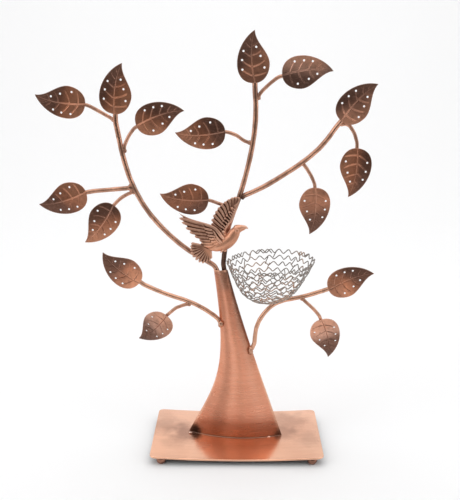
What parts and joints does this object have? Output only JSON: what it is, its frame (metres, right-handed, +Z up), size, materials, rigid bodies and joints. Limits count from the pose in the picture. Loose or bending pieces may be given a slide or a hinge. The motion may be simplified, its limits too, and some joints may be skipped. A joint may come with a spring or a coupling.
{
  "type": "jewelry tree",
  "caption": "Free-standing metal jewelry tree with pierced leaves on rod branches, a bird, a wire nest for rings and a rolled trunk on a footed plate.",
  "frame": {"origin": "on the floor, under the middle of the whole tree's bounding box", "axes": "+Z up, -Y towards the viewer of the front, +X to the right as seen from the front"},
  "size_m": [0.3308, 0.104, 0.4207],
  "materials": {
    "plate": "copper plated, brushed and polished, with soft dark smudges",
    "foot": "copper plated, polished",
    "trunk": "copper plated, satin, fine horizontal brush lines, dark burns at the foot",
    "rod": "copper plated drawn rod, satin",
    "leaf": "antiqued copper plating, dark brown with lighter rubbed veins",
    "bird": "antiqued copper plating, bright on the high spots and dark in the grooves",
    "nest": "bright silver grey wire with warm tints"
  },
  "bodies": {
    "root": {"base_plate": "plate", "bird": "bird", "branch_centre": "rod", "branch_left": "rod", "branch_lower_left": "rod", "branch_lower_right": "rod", "branch_right": "rod", "foot_back_left": "foot", "foot_back_right": "foot", "foot_front_left": "foot", "foot_front_right": "foot", "leaf_centre_low": "leaf", "leaf_centre_tip": "leaf", "leaf_centre_upper_inner": "leaf", "leaf_centre_upper_outer": "leaf", "leaf_left_middle_inner": "leaf", "leaf_left_middle_outer": "leaf", "leaf_left_tip": "leaf", "leaf_left_top_inner": "leaf", "leaf_left_top_outer": "leaf", "leaf_lower_left": "leaf", "leaf_lower_left_tip": "leaf", "leaf_lower_right": "leaf", "leaf_lower_right_tip": "leaf", "leaf_right_inner": "leaf", "leaf_right_outer": "leaf", "leaf_right_tip": "leaf", "nest": "nest", "trunk": "trunk", "twig_centre_low": "rod", "twig_centre_upper_inner": "rod", "twig_centre_upper_outer": "rod", "twig_left_middle_inner": "rod", "twig_left_middle_outer": "rod", "twig_left_top_inner": "rod", "twig_left_top_outer": "rod", "twig_lower_left": "rod", "twig_lower_right": "rod", "twig_right_inner": "rod", "twig_right_outer": "rod"}
  },
  "joints": []
}
